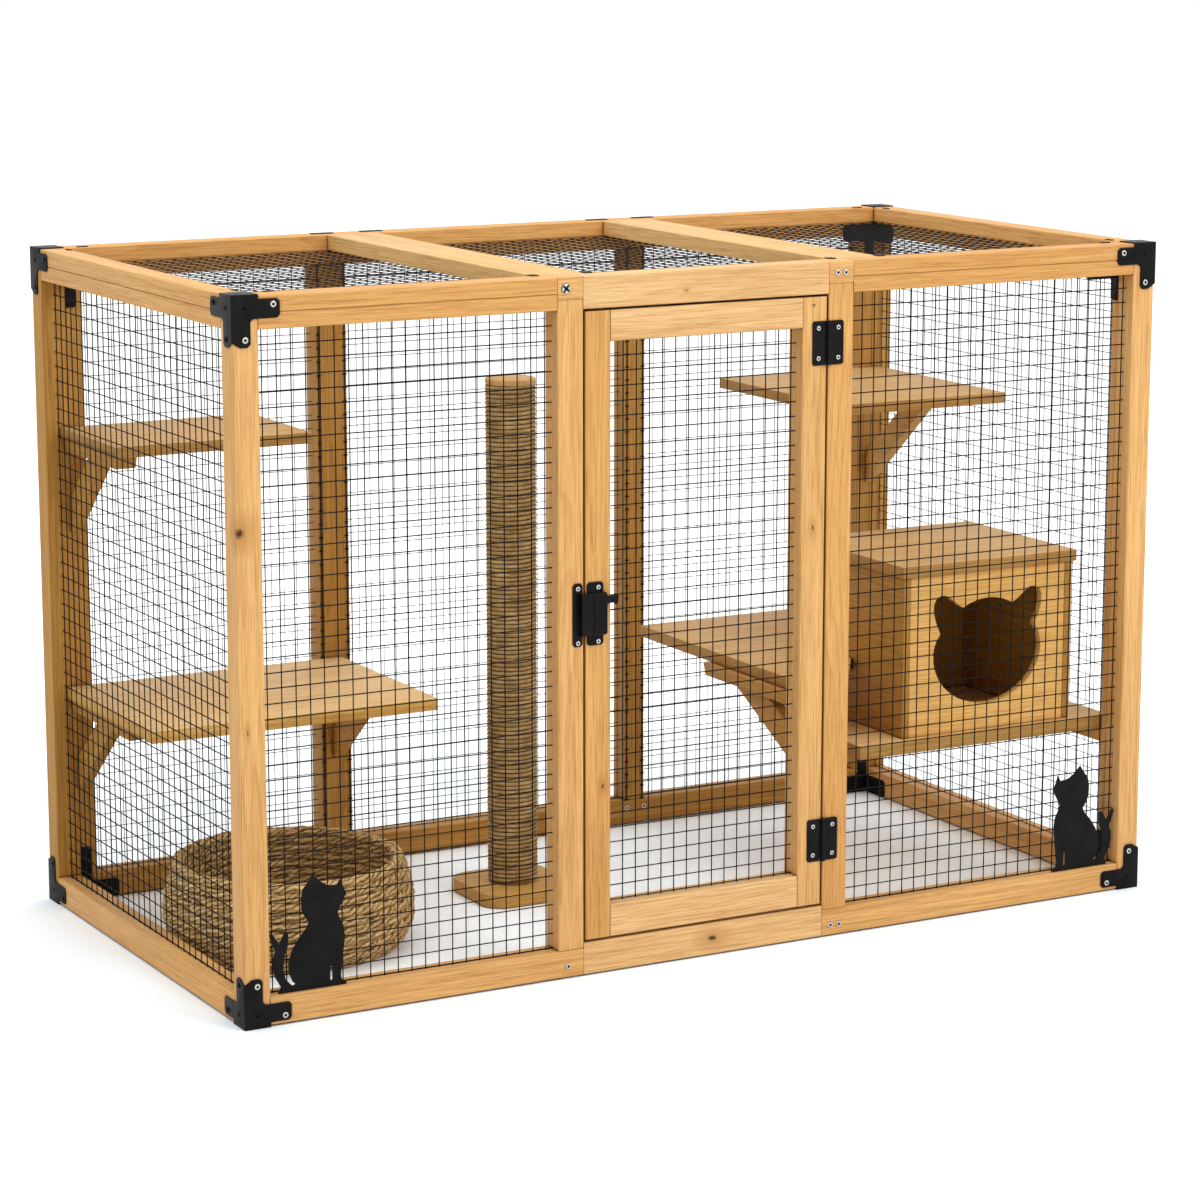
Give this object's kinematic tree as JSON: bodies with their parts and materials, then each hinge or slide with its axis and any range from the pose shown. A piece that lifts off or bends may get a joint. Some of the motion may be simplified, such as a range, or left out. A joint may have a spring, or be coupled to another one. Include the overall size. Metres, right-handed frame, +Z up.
{
  "type": "cat enclosure",
  "caption": "Pine cat enclosure with wire mesh walls and roof, hinged door, shelves, sleeping box, scratching post and basket.",
  "frame": {"origin": "centre of the footprint, on the floor", "axes": "+X to the right along the long front, +Y from the front to the back, +Z up"},
  "size_m": [1.804, 0.915, 1.202],
  "materials": {
    "pine": "clear varnish over planed pine",
    "board": "satin stained board",
    "wire": "black coated welded wire",
    "black_metal": "matt black powder coat",
    "sisal": "wound sisal rope",
    "seagrass": "coiled seagrass rope"
  },
  "bodies": {
    "frame": {"angle_brackets": "black_metal", "back_stiles": "pine", "box_front": "board", "box_roof": "board", "box_walls": "board", "bracket_middle": "pine", "bracket_upper_left": "pine", "bracket_upper_right": "pine", "brackets_lower_left": "pine", "cat_figures": "black_metal", "corner_brackets_bottom": "black_metal", "corner_brackets_top": "black_metal", "door_header": "pine", "door_sill": "pine", "hinge_leaves_post": "black_metal", "hinge_pins": "black_metal", "latch_keeper": "black_metal", "mesh_back": "wire", "mesh_front_left": "wire", "mesh_front_right": "wire", "mesh_left": "wire", "mesh_right": "wire", "mesh_roof": "wire", "platform": "board", "platform_bearer": "pine", "post_back_centre_left": "pine", "post_back_centre_right": "pine", "post_back_left": "pine", "post_back_right": "pine", "post_door_left": "pine", "post_door_right": "pine", "post_front_left": "pine", "post_front_right": "pine", "post_lap_blocks": "pine", "rail_bottom_back": "pine", "rail_bottom_front_left": "pine", "rail_bottom_front_right": "pine", "rails_bottom_side": "pine", "rails_top_long": "pine", "rails_top_side": "pine", "roof_boards": "pine", "roof_rails_long": "pine", "roof_rails_side": "pine", "shelf_lower_left": "board", "shelf_middle": "board", "shelf_upper_left": "board", "shelf_upper_right": "board", "side_stile": "pine"},
    "door": {"door_stile_latch": "pine", "door_stile_hinge": "pine", "door_rails": "pine", "mesh_door": "wire", "hinge_leaves_door": "black_metal", "latch_case": "black_metal"},
    "latch_bolt": {"latch_bolt": "black_metal"},
    "scratching_post": {"scratch_base": "board", "scratch_core": "board", "scratch_cap": "board", "scratch_rope": "sisal"},
    "basket": {"basket": "seagrass"}
  },
  "joints": [
    {"name": "door_hinge", "type": "hinge", "parent": "frame", "child": "door", "pos_m": [0.206, -0.4545, 0.62], "axis": [0, 0, 1], "range_deg": [0, 160]},
    {"name": "bolt_slide", "type": "slide", "parent": "door", "child": "latch_bolt", "axis": [-1, 0, 0], "range_m": [0, 0.016]},
    {"name": "scratching_post_lift", "type": "slide", "parent": "frame", "child": "scratching_post", "axis": [0, 0, 1], "range_m": [0, 0.1]},
    {"name": "basket_lift", "type": "slide", "parent": "frame", "child": "basket", "axis": [0, 0, 1], "range_m": [0, 0.1]}
  ]
}
